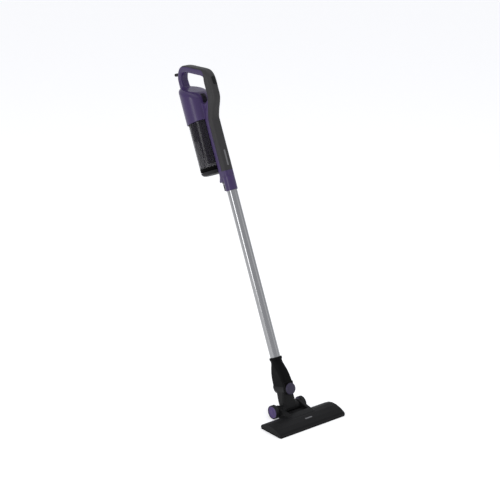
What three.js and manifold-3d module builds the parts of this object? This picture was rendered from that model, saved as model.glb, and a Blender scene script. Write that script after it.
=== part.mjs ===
// A cordless stick vacuum standing on its floor nozzle, handle leaning back.
// Millimetres, +Z up, front of the nozzle towards -Y, X across. The origin is on the floor, on the sole.
import * as THREE from "three";
import { mergeVertices } from "three/addons/utils/BufferGeometryUtils.js";
import Module from "manifold-3d";

const wasm = await Module();
wasm.setup();

// ---------- driving dimensions ----------
const GAP = 0.3; // running or fitting gap between two pieces
const WALL = 2.4; // moulded plastic wall
const LEAN = THREE.MathUtils.degToRad(23.7); // handle's lean back from upright

const NOZZLE_HALF = 132;
const NOZZLE_FRONT = -55;
const NOZZLE_REAR = 42;
const SOLE_THICK = 3;
const ARM_INNER = 36; // the yoke arms that carry the neck
const ARM_OUTER = 48.2;

const TILT_Y = 64.5; // neck's fore-and-aft tilt axis
const TILT_Z = 22.5;
const WHEEL_R = 22;
const WHEEL_Y = 71;
const HUB_R = 19;
const WHEEL_WIDTH = 13;
const WHEEL_X = 55.2;
const AXLE_R = 4; // neck pins
const TILT_PIN_HALF = 40.5;
const STUB_R = 3; // wheel axles
const STUB_START = 42; // inner end of each wheel axle

const ROLL_Z = 65.5; // side-to-side joint, above the tilt axis along the handle
const ROLL_TIP = 9.5; // degrees its front end sits lower than square to the handle
const EAR_INNER = 26;
const EAR_OUTER = 35;
const COLLAR_TOP = 165;
const COLLAR_BORE_Z = 112;

const TUBE_R = 16.3;
const TUBE_WALL = 1.1;
const BODY_Z = 707; // lower end of the hand unit, along the handle
const SOCKET_R = 19.3;
const SOCKET_DEPTH = 32;

const BIN_Y = 65; // axis of bin, filters and motor, behind the handle's axis
const BIN_R = 43.8;
const BIN_BOTTOM = 79;
const BIN_TOP = 241;
const LID_BOTTOM = 63.5;
const HOUSING_R = 48;
const HOUSING_BOTTOM = 236;
const HOUSING_TOP = 344; // height of the sloping top over the bin axis
const HOUSING_SLOPE = 0.5; // rise of that top towards the rear
const HOUSING_ROUND = 18;
const HOUSING_SKIRT_SLOPE = -0.07; // its lower edge drops towards the rear
const SPINE_BOTTOM = 31;
const COVER_BOTTOM = 64;

// Stations of the spine, grip and loop: centre y and z, half width, half depth, corner radius, and the height
// over the centre line of the parting line between the coloured body and the dark cover.
const LOOP = [
  [6, 31, 18, 21, 10, 2],
  [6, 130, 18, 21, 10, 2],
  [6, 215, 18, 21, 10, 2],
  [4, 238, 18, 20.5, 10.5, 3],
  [-10, 262, 17, 19.5, 11, -2.5],
  [-27, 284, 15.6, 19, 11.5, -12],
  [-34.5, 298, 15, 18.9, 12, -15.5],
  [-35.4, 320, 15, 18.9, 12, -15.5],
  [-35.2, 348, 15, 18.7, 11.5, -15.3],
  [-31, 366, 15.5, 15.5, 10.5, -8],
  [-18, 378.6, 16, 12, 8.5, 6.5],
  [18, 393.2, 16, 11.5, 8, 7.5],
  [58, 409, 16, 11.5, 8, 8],
  [82, 413, 16, 11, 8, 8.4],
  [95.5, 405, 16, 10.4, 7.8, 8.4],
  [104, 390, 16, 10, 7.5, 8.2],
  [105.5, 378, 16, 10, 7.5, 8],
  [105, 362, 16.5, 10.2, 7.5, 8],
  [103, 342, 17, 10.5, 7.5, 8],
];
const LOOP_STEPS = 24; // lengthwise steps over all stations
const COVER_END = 17; // step where the dark cover ends, over the loop's rear corner
const SADDLE_END = 6; // step above the bin's top
const ARC_POINTS = 7;

// ---------- materials ----------
const paint = (color, roughness, metalness = 0) =>
  new THREE.MeshStandardMaterial({ color, roughness, metalness });
const purple = paint(0x4b3a68, 0.35);
const darkPlastic = paint(0x37363a, 0.5);
const black = paint(0x1c1c1e, 0.45);
const grey = paint(0x77777a, 0.45);
const smoke = new THREE.MeshStandardMaterial({
  color: 0x55535a, roughness: 0.12, transparent: true, opacity: 0.45,
});
const aluminium = paint(0xaeb0b3, 0.3, 1);
const steel = paint(0x9a9da1, 0.3, 1);
const copper = paint(0xa06a3c, 0.4, 1);
const rubber = paint(0x151516, 0.85);
const felt = paint(0xd9d7cf, 0.95);
const board = paint(0x1f5b3a, 0.6);

// ---------- solids ----------
/** A closed manifold of a three.js geometry, faces out. */
function solidOf(geometry) {
  const bare = new THREE.BufferGeometry();
  bare.setAttribute("position", geometry.getAttribute("position").clone());
  if (geometry.index) bare.setIndex(geometry.index.clone());
  const merged = mergeVertices(bare, 1e-4);
  const vertProperties = new Float32Array(merged.getAttribute("position").array);
  const corners = Array.from(merged.index.array);
  const triVerts = [];
  for (let i = 0; i < corners.length; i += 3) {
    const [a, b, c] = corners.slice(i, i + 3);
    if (a !== b && b !== c && c !== a) triVerts.push(a, b, c);
  }
  if (signedVolume(vertProperties, triVerts) < 0) triVerts.reverse();
  const mesh = new wasm.Mesh({ numProp: 3, vertProperties, triVerts: new Uint32Array(triVerts) });
  return new wasm.Manifold(mesh);
}

function signedVolume(p, tri) {
  let sum = 0;
  for (let i = 0; i < tri.length; i += 3) {
    const [a, b, c] = [tri[i] * 3, tri[i + 1] * 3, tri[i + 2] * 3];
    sum += p[a] * (p[b + 1] * p[c + 2] - p[b + 2] * p[c + 1]);
    sum += p[a + 1] * (p[b + 2] * p[c] - p[b] * p[c + 2]);
    sum += p[a + 2] * (p[b] * p[c + 1] - p[b + 1] * p[c]);
  }
  return sum;
}

function geometryOf(solid) {
  const mesh = solid.getMesh();
  const geometry = new THREE.BufferGeometry();
  geometry.setAttribute("position", new THREE.BufferAttribute(new Float32Array(mesh.vertProperties), 3));
  geometry.setIndex(new THREE.BufferAttribute(new Uint32Array(mesh.triVerts), 1));
  return geometry;
}

const join = (...solids) => solids.reduce((a, b) => a.add(b));
const moved = (geometry, x, y, z) => solidOf(geometry.translate(x, y, z));

/** A box between two corners. */
function box(x0, x1, y0, y1, z0, z1) {
  const geometry = new THREE.BoxGeometry(x1 - x0, y1 - y0, z1 - z0);
  return moved(geometry, (x0 + x1) / 2, (y0 + y1) / 2, (z0 + z1) / 2);
}

/** A turned solid about Z through (x, y), from a profile of [radius, z]. */
function turned(profile, x = 0, y = 0, segments = 24) {
  const points = profile.map(([r, z]) => new THREE.Vector2(r, z));
  return moved(new THREE.LatheGeometry(points, segments).rotateX(Math.PI / 2), x, y, 0);
}

const ringProfile = (inner, outer, z0, z1) =>
  [[inner, z0], [outer, z0], [outer, z1], [inner, z1], [inner, z0]];
const rodProfile = (r, z0, z1) => [[0, z0], [r, z0], [r, z1], [0, z1]];

/** A turned solid laid along X, its profile's z becoming x, about the line (y, z). */
function turnedAlongX(profile, y, z, segments = 20) {
  const points = profile.map(([r, x]) => new THREE.Vector2(r, x));
  const geometry = new THREE.LatheGeometry(points, segments).rotateZ(-Math.PI / 2);
  return moved(geometry, 0, y, z);
}

/** A turned solid laid along Y, its profile's z becoming y, about the line (x, z). */
function turnedAlongY(profile, x, z, segments = 20) {
  const points = profile.map(([r, y]) => new THREE.Vector2(r, y));
  return moved(new THREE.LatheGeometry(points, segments), x, 0, z);
}

function roundedRect(width, height, radius) {
  const [w, h] = [width / 2, height / 2];
  const shape = new THREE.Shape();
  shape.moveTo(w, h - radius);
  shape.absarc(w - radius, h - radius, radius, 0, Math.PI / 2, false);
  shape.absarc(radius - w, h - radius, radius, Math.PI / 2, Math.PI, false);
  shape.absarc(radius - w, radius - h, radius, Math.PI, 1.5 * Math.PI, false);
  shape.absarc(w - radius, radius - h, radius, 1.5 * Math.PI, 2 * Math.PI, false);
  return shape;
}

/** A shape pushed along Z from z0 to z1, with an optional rounded edge inside its outline. */
function prism(shape, z0, z1, edge = 0, curveSegments = 4) {
  const geometry = new THREE.ExtrudeGeometry(shape, {
    depth: z1 - z0 - 2 * edge, curveSegments, steps: 1, bevelEnabled: edge > 0,
    bevelThickness: edge, bevelSize: edge, bevelOffset: -edge, bevelSegments: 1,
  });
  return geometry.translate(0, 0, z0 + edge);
}

/** The same along X: the shape's own x and y become the model's y and z. */
const prismAlongX = (shape, x0, x1, edge = 0, curveSegments = 4) =>
  solidOf(prism(shape, x0, x1, edge, curveSegments).rotateZ(Math.PI / 2).rotateY(Math.PI / 2));

/** The same along Y, outwards to the front: the shape's y stays the model's z. */
const prismAlongY = (shape, y0, y1, edge, x, z) =>
  moved(prism(shape, y0, y1, edge).rotateX(Math.PI / 2).rotateZ(Math.PI), x, 0, z);

function outline(points) {
  return new THREE.Shape(points.map(([a, b]) => new THREE.Vector2(a, b)));
}

/** Triangles over a flat outline, turned the way the outline runs. */
function capTriangles(points) {
  const way = Math.sign(THREE.ShapeUtils.area(points));
  return THREE.ShapeUtils.triangulateShape([...points], []).map(([a, b, c]) => {
    const same = Math.sign(THREE.ShapeUtils.area([points[a], points[b], points[c]])) === way;
    return same ? [a, b, c] : [a, c, b];
  });
}

/** A skin over rings of equal length, closed by a flat cap at each end. */
function loft(rings, section) {
  const count = rings[0].length;
  const positions = rings.flat().flatMap((p) => p.toArray());
  const index = [];
  for (let i = 0; i + 1 < rings.length; i += 1) {
    for (let j = 0; j < count; j += 1) {
      const [a, b] = [i * count + j, i * count + ((j + 1) % count)];
      index.push(a, b, b + count, a, b + count, a + count);
    }
  }
  const last = (rings.length - 1) * count;
  for (const [a, b, c] of capTriangles(section[0])) index.push(a, c, b);
  for (const [a, b, c] of capTriangles(section[1])) index.push(last + a, last + b, last + c);
  const geometry = new THREE.BufferGeometry();
  geometry.setAttribute("position", new THREE.Float32BufferAttribute(positions, 3));
  geometry.setIndex(index);
  return solidOf(geometry);
}

// ---------- spine, grip and loop ----------
/** The loop's station values at t from 0 to 1, smoothed through LOOP. */
function loopAt(t) {
  const at = t * (LOOP.length - 1);
  const i = Math.min(Math.floor(at), LOOP.length - 2);
  const pick = (k) => LOOP[Math.max(0, Math.min(LOOP.length - 1, k))];
  return LOOP[0].map((_, c) => {
    const [a, b, d, e] = [pick(i - 1)[c], pick(i)[c], pick(i + 1)[c], pick(i + 2)[c]];
    const u = at - i;
    return b + 0.5 * u * (d - a + u * (2 * a - 5 * b + 4 * d - e + u * (3 * (b - d) + e - a)));
  });
}

/** Points over a rounded section, from its right flank over the top to its left flank, above height from. */
function sectionArc(w, h, r, from) {
  const flank = from < h - r;
  const start = flank ? 0 : Math.asin(Math.min(1, (from - h + r) / r));
  const path = new THREE.Path();
  path.moveTo(flank ? w : w - r + r * Math.cos(start), from);
  path.absarc(w - r, h - r, r, start, Math.PI / 2, false);
  path.absarc(r - w, h - r, r, Math.PI / 2, Math.PI - start, false);
  if (flank) path.lineTo(-w, from);
  return path.getSpacedPoints(ARC_POINTS - 1);
}

/** The loop's section at a station: its dark cover, its coloured channel, its bulk or its hollow. */
function loopSection(kind, [, , w, h, r, split]) {
  if (kind === "bulk" || kind === "hollow") {
    const inset = kind === "bulk" ? 0 : WALL;
    const top = sectionArc(w - inset, h - inset, r - inset, 0);
    return [...top, ...top.slice(1, -1).map((p) => new THREE.Vector2(-p.x, -p.y))];
  }
  if (kind === "coverSpace") return sectionArc(w + GAP, h + GAP, r, split - GAP);
  const side = kind === "cover" ? 1 : -1;
  const from = kind === "cover" ? split : GAP - split;
  const outer = sectionArc(w, h, r, from);
  const inner = sectionArc(w - WALL, h - WALL, r - WALL, from).reverse();
  return [...outer, ...inner].map((p) => new THREE.Vector2(p.x, side * p.y));
}

/** One piece of the loop between two of its lengthwise steps. */
function loopPiece(kind, first, last) {
  const rings = [];
  const sections = [];
  const steps = [first];
  for (let i = Math.floor(first) + 1; i < last; i += 1) steps.push(i);
  for (const i of [...steps, last]) {
    const t = i / LOOP_STEPS;
    const station = loopAt(t);
    const [y0, z0] = loopAt(Math.max(0, t - 0.005));
    const [y1, z1] = loopAt(Math.min(1, t + 0.005));
    const along = new THREE.Vector2(y1 - y0, z1 - z0).normalize();
    const section = loopSection(kind, station);
    sections.push(section);
    rings.push(section.map(
      (p) => new THREE.Vector3(p.x, station[0] - p.y * along.y, station[1] + p.y * along.x)));
  }
  return loft(rings, [sections[0], sections.at(-1)]);
}

// ---------- motor housing ----------
const HOUSING_SIDES = 28;
function ring(radius, z, slope) {
  return Array.from({ length: HOUSING_SIDES }, (_, i) => {
    const a = (i / HOUSING_SIDES) * 2 * Math.PI;
    const y = radius * Math.sin(a);
    return new THREE.Vector3(radius * Math.cos(a), BIN_Y + y, z + slope * y);
  });
}

/** The housing's bulk with its sloping rounded top, or with an inset its hollow, open below. */
function housingBulk(inset) {
  const round = HOUSING_ROUND - inset;
  const radius = HOUSING_R - inset;
  const bottom = HOUSING_BOTTOM - (inset > 0 ? 10 : 0);
  const skirtSlope = inset > 0 ? 0 : HOUSING_SKIRT_SLOPE;
  const rings = [ring(radius, bottom, skirtSlope), ring(radius, 290, HOUSING_SLOPE / 2)];
  const roundSteps = 3;
  for (let i = 0; i <= roundSteps; i += 1) {
    const a = (i / roundSteps) * (Math.PI / 2);
    const drop = inset + round * (1 - Math.sin(a));
    rings.push(ring(radius - round * (1 - Math.cos(a)), HOUSING_TOP - drop, HOUSING_SLOPE));
  }
  const flat = (r) => r.map((p) => new THREE.Vector2(p.x, p.y));
  return loft(rings, [flat(rings[0]), flat(rings.at(-1))]);
}

/** The bridge between the grip's root and the motor housing, under the hand opening. */
function web() {
  const outer = outline([[45, 238], [0, 238], [-14, 262], [-20, 290], [-14, 292], [-8, 287],
    [2, 284], [12, 285], [22, 292], [45, 292]]);
  const inner = outline([[50, 230], [0, 230], [-14, 262], [-20, 280], [14, 280], [50, 280]]);
  return prismAlongX(outer, -15.5, 15.5, 4, 1).subtract(prismAlongX(inner, -12.5, 12.5));
}

// ---------- body shells ----------
const PORT_BOTTOM = 200; // air port from the duct into the bin
const PORT_TOP = 222;
const PORT_HALF = 8;
const GRILLE_HALF = 9;
const GRILLE_BOTTOM = 289;
const GRILLE_TOP = 320;
// The spine's foot reaches back under the bin, behind a curve that clears the swinging lid.
const HEEL = [[10, SPINE_BOTTOM], [30, SPINE_BOTTOM], [31.6, 34], [28.2, 41], [25.2, 48], [22.9, 55],
  [21, 57], [10, 57]];
const LID_SWING_R = 91.9; // reach of the lid's front edge from its hinge, with clearance
const port = (half) => box(-half, half, 10, 30, PORT_BOTTOM, PORT_TOP);
/** The room the lid's front edge sweeps below the bin as it swings open, grown by a margin. */
const lidSwing = (margin) => turnedAlongX(rodProfile(LID_SWING_R + margin, -40, 40), HINGE_Y, HINGE_Z, 128)
  .intersect(box(-40, 40, 12, 60, 0, BIN_BOTTOM - 2));

/** The spine's closed foot below the dark cover, with the heel that reaches under the bin. */
function foot() {
  const below = box(-40, 40, -60, 60, 0, COVER_BOTTOM - GAP);
  const heel = prismAlongX(outline(HEEL), -16.5, 16.5, 1.5, 1);
  const inside = box(-13, 13, 8, 24.6, SPINE_BOTTOM + WALL, 47);
  const hollow = loopPiece("hollow", 0, 3).intersect(box(-40, 40, -60, 60, SPINE_BOTTOM + WALL, 80))
    .subtract(lidSwing(WALL));
  return join(loopPiece("bulk", 0, 3).intersect(below), heel).subtract(hollow).subtract(inside);
}

/** The coloured body: foot, spine channel, bridge, motor housing and loop in one skin, not yet halved. */
function bodySkin() {
  const saddleR = BIN_R + 0.7;
  const saddleBottom = LID_BOTTOM - 2;
  const binSpace = turned(rodProfile(saddleR, saddleBottom, HOUSING_BOTTOM + 0.2), 0, BIN_Y, 40);
  const saddle = turned(rodProfile(saddleR + WALL, saddleBottom - WALL, HOUSING_BOTTOM), 0, BIN_Y, 40)
    .intersect(loopPiece("bulk", 0, SADDLE_END))
    .intersect(box(-30, 30, 4.4, 40, 0, 240));
  const rear = loopPiece("bulk", COVER_END - 0.3, LOOP_STEPS).subtract(loopPiece("hollow", 0, LOOP_STEPS));
  const front = loopPiece("channel", 0, COVER_END).subtract(box(-40, 40, -60, 60, 0, COVER_BOTTOM - 8));
  const coverSpace = loopPiece("coverSpace", 0, COVER_END)
    .subtract(box(-40, 40, -60, 60, 0, COVER_BOTTOM - GAP));
  const grilleHalf = GRILLE_HALF + GAP;
  const grilleSpace = box(-grilleHalf, grilleHalf, 0, 30, GRILLE_BOTTOM - GAP, GRILLE_TOP + GAP);
  const screwHoles = BODY_SCREWS.map(([x, y, z]) => turnedAlongX(rodProfile(3.6, x - 1.4, x + 9), y, z, 12));
  return join(housingBulk(0), web(), front, rear)
    .subtract(coverSpace)
    .add(foot())
    .add(saddle)
    .subtract(housingBulk(WALL))
    .subtract(binSpace)
    .subtract(lidSwing(0))
    .subtract(port(PORT_HALF))
    .subtract(grilleSpace)
    .subtract(box(-11.3, 11.3, 20.1, 25.5, 20, 43.8))
    .subtract(inletTurned([[0, -7], [INLET_R + GAP, -7], [INLET_R + GAP, 30], [0, 30]]))
    .subtract(join(...screwHoles));
}

const INLET_R = 5.6;
/** A turned solid on the charging inlet's axis, which leaves the loop's rear corner slightly upwards. */
function inletTurned(profile) {
  const points = profile.map(([r, y]) => new THREE.Vector2(r, y));
  const geometry = new THREE.LatheGeometry(points, 16).rotateX(THREE.MathUtils.degToRad(10));
  return moved(geometry, 0, 106, 402);
}
// the right flank's screws: half width there, y and z
const BODY_SCREWS = [[18, 14, 84], [18, 14, 222], [16, 38, 396], [16, 102, 374]];

/** The dark cover's two parts meet on a slanted line under the grip. */
function coverPiece(name) {
  const lift = name === "grip" ? GAP : 0;
  const above = prismAlongX(
    outline([[-80, 341 + lift], [-80, 600], [120, 600], [120, 73 + lift]]), -30, 30);
  const whole = loopPiece("cover", 0, COVER_END - 0.015);
  const cut = name === "grip" ? whole.intersect(above) : whole.subtract(above);
  return cut.subtract(box(-40, 40, -60, 60, 0, COVER_BOTTOM)).subtract(
    name === "grip" ? prismAlongY(roundedRect(12.6, 26.6, 6.2), -60, -48, 0, 0, BUTTON_Z)
      : box(-3.3, 3.3, -20, -13.6, 78, 130));
}
const BUTTON_Z = 344;

function coil(radius, wire, length, turns) {
  const points = [];
  for (let i = 0; i <= turns * 8; i += 1) {
    const a = (i / 8) * 2 * Math.PI;
    points.push(new THREE.Vector3(radius * Math.cos(a), (length * i) / (turns * 8), radius * Math.sin(a)));
  }
  const section = outline([0, 1, 2, 3, 4].map((i) => [
    wire * Math.cos((i / 5) * 2 * Math.PI), wire * Math.sin((i / 5) * 2 * Math.PI)]));
  return new THREE.ExtrudeGeometry(section, {
    extrudePath: new THREE.CatmullRomCurve3(points), steps: turns * 8, bevelEnabled: false });
}

// ---------- inner pieces ----------
function batteryPack() {
  const cells = [-75, -25, 25, 75].map((angle) => {
    const a = THREE.MathUtils.degToRad(angle);
    return turned(rodProfile(9, 276, 336), 34 * Math.sin(a), BIN_Y + 34 * Math.cos(a), 10);
  });
  const strap = turned(ringProfile(30, 38, 290, 320), 0, BIN_Y, 24)
    .intersect(box(-40, 40, BIN_Y + 8, BIN_Y + 50, 280, 330));
  return join(strap, ...cells);
}

function impeller() {
  const blades = Array.from({ length: 9 }, (_, i) => {
    const blade = new THREE.BoxGeometry(24, 1.4, 8).translate(20, 0, 0).rotateZ((i / 9) * 2 * Math.PI);
    return moved(blade, 0, BIN_Y, 267);
  });
  return join(turned([[3.2, 262], [34, 262], [34, 263.6], [12, 264.5], [10, 272], [3.2, 272], [3.2, 262]],
    0, BIN_Y, 24), ...blades);
}

function ductPiece() {
  const outer = box(-11, 11, -10, 15, SPINE_BOTTOM + 16, 228);
  const bore = box(-9.4, 9.4, -8.4, 13.4, SPINE_BOTTOM, 226.4);
  return outer.subtract(bore).subtract(box(-7, 7, 10, 20, PORT_BOTTOM + 1, PORT_TOP - 1));
}

// ---------- bin foot and lid ----------
const HINGE_R = 1.5;
const HINGE_Y = BIN_Y + BIN_R + 3.7;
const HINGE_Z = 77.8;
const KNUCKLE_R = 3.2;
const hingeBore = turnedAlongX(rodProfile(HINGE_R + GAP, -20, 20), HINGE_Y, HINGE_Z, 12);
const knuckle = (x0, x1) => turnedAlongX(rodProfile(KNUCKLE_R, x0, x1), HINGE_Y, HINGE_Z, 14);

/** The dark band round the bin's open lower end, with two hinge knuckles at the rear. */
function binFoot() {
  const band = turned([[BIN_R - 2.3, BIN_BOTTOM], [BIN_R, BIN_BOTTOM], [BIN_R, BIN_BOTTOM + 10.7],
    [BIN_R - 2.3, BIN_BOTTOM + 10.7], [BIN_R - 2.3, BIN_BOTTOM]], 0, BIN_Y, 24);
  const lug = (x0, x1) => box(x0, x1, BIN_Y + BIN_R - 1.3, HINGE_Y, BIN_BOTTOM + 0.5, BIN_BOTTOM + 5);
  return join(band, lug(-9, -4), lug(4, 9), knuckle(-9, -4), knuckle(4, 9)).subtract(hingeBore);
}

/** The domed lid under the bin, with the middle knuckle. */
function binLid() {
  const dome = turned([[0, LID_BOTTOM], [30, LID_BOTTOM + 0.2], [38, 66], [42.4, 71], [BIN_R, 76.7],
    [41.4, 76.7], [40, 72], [36.4, 68], [29, 66], [0, 65.8]], 0, BIN_Y, 24);
  const leaf = box(-3.7, 3.7, BIN_Y + 41.5, HINGE_Y, 71.5, 76.4);
  return join(dome, leaf, knuckle(-3.7, 3.7)).subtract(hingeBore);
}

// ---------- neck ----------
/** A skin through rounded rectangles of [z, half width, half depth, corner radius, centre y]. */
function roundedLoft(levels) {
  const sides = 20;
  const rings = levels.map(([z, w, d, r, y = 0]) => roundedRect(2 * w, 2 * d, r).getSpacedPoints(sides)
    .slice(0, sides).map((p) => new THREE.Vector3(p.x, p.y + y, z)));
  const flat = (r) => r.map((p) => new THREE.Vector2(p.x, p.y));
  return loft(rings, [flat(rings[0]), flat(rings.at(-1))]);
}

/** Puts a solid built about Y through the origin onto the tipped side-to-side axis. */
const onRollAxis = (solid) => solid.rotate([ROLL_TIP, 0, 0]).translate([0, 0, ROLL_Z]);

const EAR_FRONT_R = 18.5;
const EAR_REAR_R = 12.5;
/** A round sleeve for the tube that spreads into a fork, with an ear before and behind the roll joint. */
function collarPiece() {
  const sleeve = roundedLoft([
    [66, 18.5, 31, 9, -2], [87, 19.4, 31, 10, -2], [112, 19.6, 27.5, 12, -1],
    [134, 19.2, 22.8, 17], [146, 18.4, 18.8, 18.2], [154, 18.2, 18.2, 18.1],
    [157, 20.3, 20.3, 20.2], [COLLAR_TOP, 20.3, 20.3, 20.2],
  ]);
  const front = join(turnedAlongY(rodProfile(EAR_FRONT_R, -EAR_OUTER, -EAR_INNER), 0, 0, 20),
    box(-17.5, 17.5, -EAR_OUTER + 4, -EAR_INNER, 0, 22));
  const rear = join(turnedAlongY(rodProfile(EAR_REAR_R, EAR_INNER, EAR_OUTER - 3), 0, 0, 20),
    box(-12, 12, EAR_INNER, EAR_OUTER - 4, 0, 16));
  const linkSpace = join(turnedAlongY(rodProfile(LINK_R + 0.5, -EAR_INNER, EAR_INNER), 0, 0, 32),
    box(-40, 40, -EAR_INNER, EAR_INNER, -80, 4));
  return join(sleeve, onRollAxis(join(front, rear)))
    .subtract(onRollAxis(linkSpace.add(turnedAlongY(rodProfile(AXLE_R + GAP, -60, 60), 0, 0))))
    .subtract(turned(rodProfile(TUBE_R + GAP, COLLAR_BORE_Z, 200)))
    .subtract(turned(rodProfile(13.5, 60, 200)));
}

const LINK_R = 20; // barrel that turns between the fork's ears
const LINK_DEPTH = EAR_INNER - GAP;
const TILT_R = 16; // barrel that turns between the nozzle's arms
function neckLink() {
  return join(
    roundedLoft([[0, 24, 17, 9], [20, 24, 17.5, 9], [38, 23, 18, 9], [50, 20, 20, 9], [57, 18, 23, 8]]),
    onRollAxis(turnedAlongY(rodProfile(LINK_R, -LINK_DEPTH, LINK_DEPTH), 0, 0, 20)),
    turnedAlongX(rodProfile(TILT_R, GAP - ARM_INNER, ARM_INNER - GAP), 0, 0),
  )
    .subtract(turned(rodProfile(11.5, 8, 100)))
    .subtract(turnedAlongX(rodProfile(11, 10 - ARM_INNER, ARM_INNER - 10), 0, 0, 20))
    .subtract(box(-11, 11, -30, -4, -6, 6).rotate([48, 0, 0]))
    .subtract(onRollAxis(turnedAlongY(rodProfile(AXLE_R + GAP, -60, 60), 0, 0)))
    .subtract(turnedAlongX(rodProfile(AXLE_R + GAP, -60, 60), 0, 0));
}

// ---------- nozzle ----------
const NOZZLE_ARCH = [[NOZZLE_FRONT, 3.3], [NOZZLE_FRONT, 9], [-50, 14], [-34, 21], [-14, 26], [6, 26.5],
  [22, 22.5], [NOZZLE_REAR - 2, 12.5], [NOZZLE_REAR, 10], [NOZZLE_REAR, 3.3]];
const NOZZLE_HOLLOW = [[-52.4, 0], [-52.4, 9], [-48, 12], [-33, 18.5], [-13.5, 23.4], [5, 23.9],
  [20, 20], [38, 10.5], [39.4, 9], [39.4, 0]];

function armPiece(side) {
  const profile = new THREE.Shape();
  profile.moveTo(-12, 20);
  profile.lineTo(-6, 27);
  profile.lineTo(14, 30);
  profile.lineTo(40, 35);
  profile.lineTo(56, 39);
  profile.absarc(WHEEL_Y - 6, TILT_Z, 18.5, 1.7, -1.2, true);
  profile.lineTo(50, 3.3);
  profile.lineTo(34, 3.3);
  const [a, b] = [side * ARM_INNER, side * ARM_OUTER].sort((x, y) => x - y);
  return prismAlongX(profile, a, b, 2, 8);
}

function nozzleShell() {
  const ends = (points, grow) => {
    const lowered = points.map(([y, h]) => [y, Math.min(h, 24.5 - grow)]);
    return [[grow - NOZZLE_HALF, lowered], [grow - NOZZLE_HALF + 4, points],
      [NOZZLE_HALF - grow - 4, points], [NOZZLE_HALF - grow, lowered]];
  };
  const skin = (points, grow) => {
    const stations = ends(points, grow);
    const rings = stations.map(([x, pts]) => pts.map(([y, z]) => new THREE.Vector3(x, y, z)));
    const flat = (pts) => pts.map(([y, z]) => new THREE.Vector2(y, z));
    return loft(rings, [flat(stations[0][1]), flat(stations.at(-1)[1])]);
  };
  const deckOutline = outline([[-30, 18], [-8, 27.5], [14, 30], [22, 26], [24, 20]]);
  const deck = prismAlongX(deckOutline, -ARM_OUTER, ARM_OUTER, 2);
  const throatOutline = outline([[18, 10], [18, 24], [26, 22.5], [46, 20.5], [52, 14], [50, 5], [36, 5]]);
  const throat = prismAlongX(throatOutline, -ARM_INNER - 1, ARM_INNER + 1);
  const pinHalf = TILT_PIN_HALF + GAP;
  const cradle = turnedAlongX(rodProfile(TILT_R + 1, -ARM_INNER, ARM_INNER), TILT_Y, TILT_Z, 24);
  return join(skin(NOZZLE_ARCH, 0), deck, throat, armPiece(-1), armPiece(1))
    .subtract(skin(NOZZLE_HOLLOW, WALL))
    .subtract(cradle)
    .subtract(box(-14, 14, 30, 60, 8, 17.5))
    .subtract(turnedAlongX(rodProfile(AXLE_R + GAP, -pinHalf, pinHalf), TILT_Y, TILT_Z))
    .subtract(turnedAlongX(rodProfile(STUB_R + GAP, -60, GAP - STUB_START), WHEEL_Y, WHEEL_R))
    .subtract(turnedAlongX(rodProfile(STUB_R + GAP, STUB_START - GAP, 60), WHEEL_Y, WHEEL_R))
    .subtract(nozzleBadge(GAP));
}

const nozzleBadge = (grow) => {
  const plate = prism(roundedRect(28 + 2 * grow, 5 + 2 * grow, 2), -0.7 - grow, 0.5 + grow);
  return moved(plate.rotateX(Math.atan2(5, 20)), 3, -28, 22.2);
};

const SLOT_HALF = 96;
function solePlate() {
  const plate = prism(roundedRect(2 * NOZZLE_HALF, NOZZLE_REAR - NOZZLE_FRONT, 6), 0, SOLE_THICK, 0.8);
  let sole = moved(plate, 0, (NOZZLE_REAR + NOZZLE_FRONT) / 2, 0);
  for (const [y0, y1, half] of SOLE_SLOTS) sole = sole.subtract(box(-half, half, y0, y1, -2, 6));
  for (const x of [-1, 1]) {
    for (const y of [-46, 32]) sole = sole.subtract(turned(rodProfile(3.6, -1, 1.4), x * 112, y, 14));
  }
  return sole.subtract(turnedAlongX(rodProfile(TILT_R + 1, -ARM_INNER, ARM_INNER), TILT_Y, TILT_Z, 24));
}
const SOLE_SLOTS = [[-50.3, -43.7, 100.3], [-38, -18, SLOT_HALF], [-12.3, -5.7, 100.3], [17.7, 24.3, 100.3]];

const WHEEL_HALF = WHEEL_WIDTH / 2;
/** A turned part of a wheel, its profile's second value counted outwards from the wheel's middle. */
const onWheel = (side, profile, segments = 24) =>
  turnedAlongX(profile.map(([r, d]) => [r, side * (d + WHEEL_X)]), WHEEL_Y, WHEEL_R, segments);
const HUB_PROFILE = [[STUB_R + GAP, -WHEEL_HALF], [HUB_R - 0.8, -WHEEL_HALF], [HUB_R, 0.8 - WHEEL_HALF],
  [HUB_R, WHEEL_HALF - 0.8], [HUB_R - 0.8, WHEEL_HALF], [0, WHEEL_HALF], [0, WHEEL_HALF - 2],
  [STUB_R + GAP, WHEEL_HALF - 2], [STUB_R + GAP, -WHEEL_HALF]];
const TYRE_PROFILE = [[HUB_R + GAP, -WHEEL_HALF], [WHEEL_R - 1.2, -WHEEL_HALF], [WHEEL_R, 1.2 - WHEEL_HALF],
  [WHEEL_R, WHEEL_HALF - 1.2], [WHEEL_R - 1.2, WHEEL_HALF], [HUB_R + GAP, WHEEL_HALF],
  [HUB_R + GAP, -WHEEL_HALF]];
const STUB_PROFILE = rodProfile(STUB_R, STUB_START - WHEEL_X, WHEEL_HALF - 2.5);

// ---------- assembly ----------
const vacuum = new THREE.Group();
const handle = new THREE.Group(); // z along the leaning handle, from the tilt axis
handle.position.set(0, TILT_Y, TILT_Z);
handle.rotation.x = -LEAN;
const hand = new THREE.Group(); // the hand unit, z from its lower end
hand.position.z = BODY_Z;
handle.add(hand);
vacuum.add(handle);

const FINENESS = 0.02; // detail smaller than this is dropped
/** The largest of a cut solid's bodies, without the slivers a cut leaves. */
const largest = (solid) =>
  solid.decompose().sort((a, b) => b.volume() - a.volume())[0].asOriginal().simplify(FINENESS);

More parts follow.
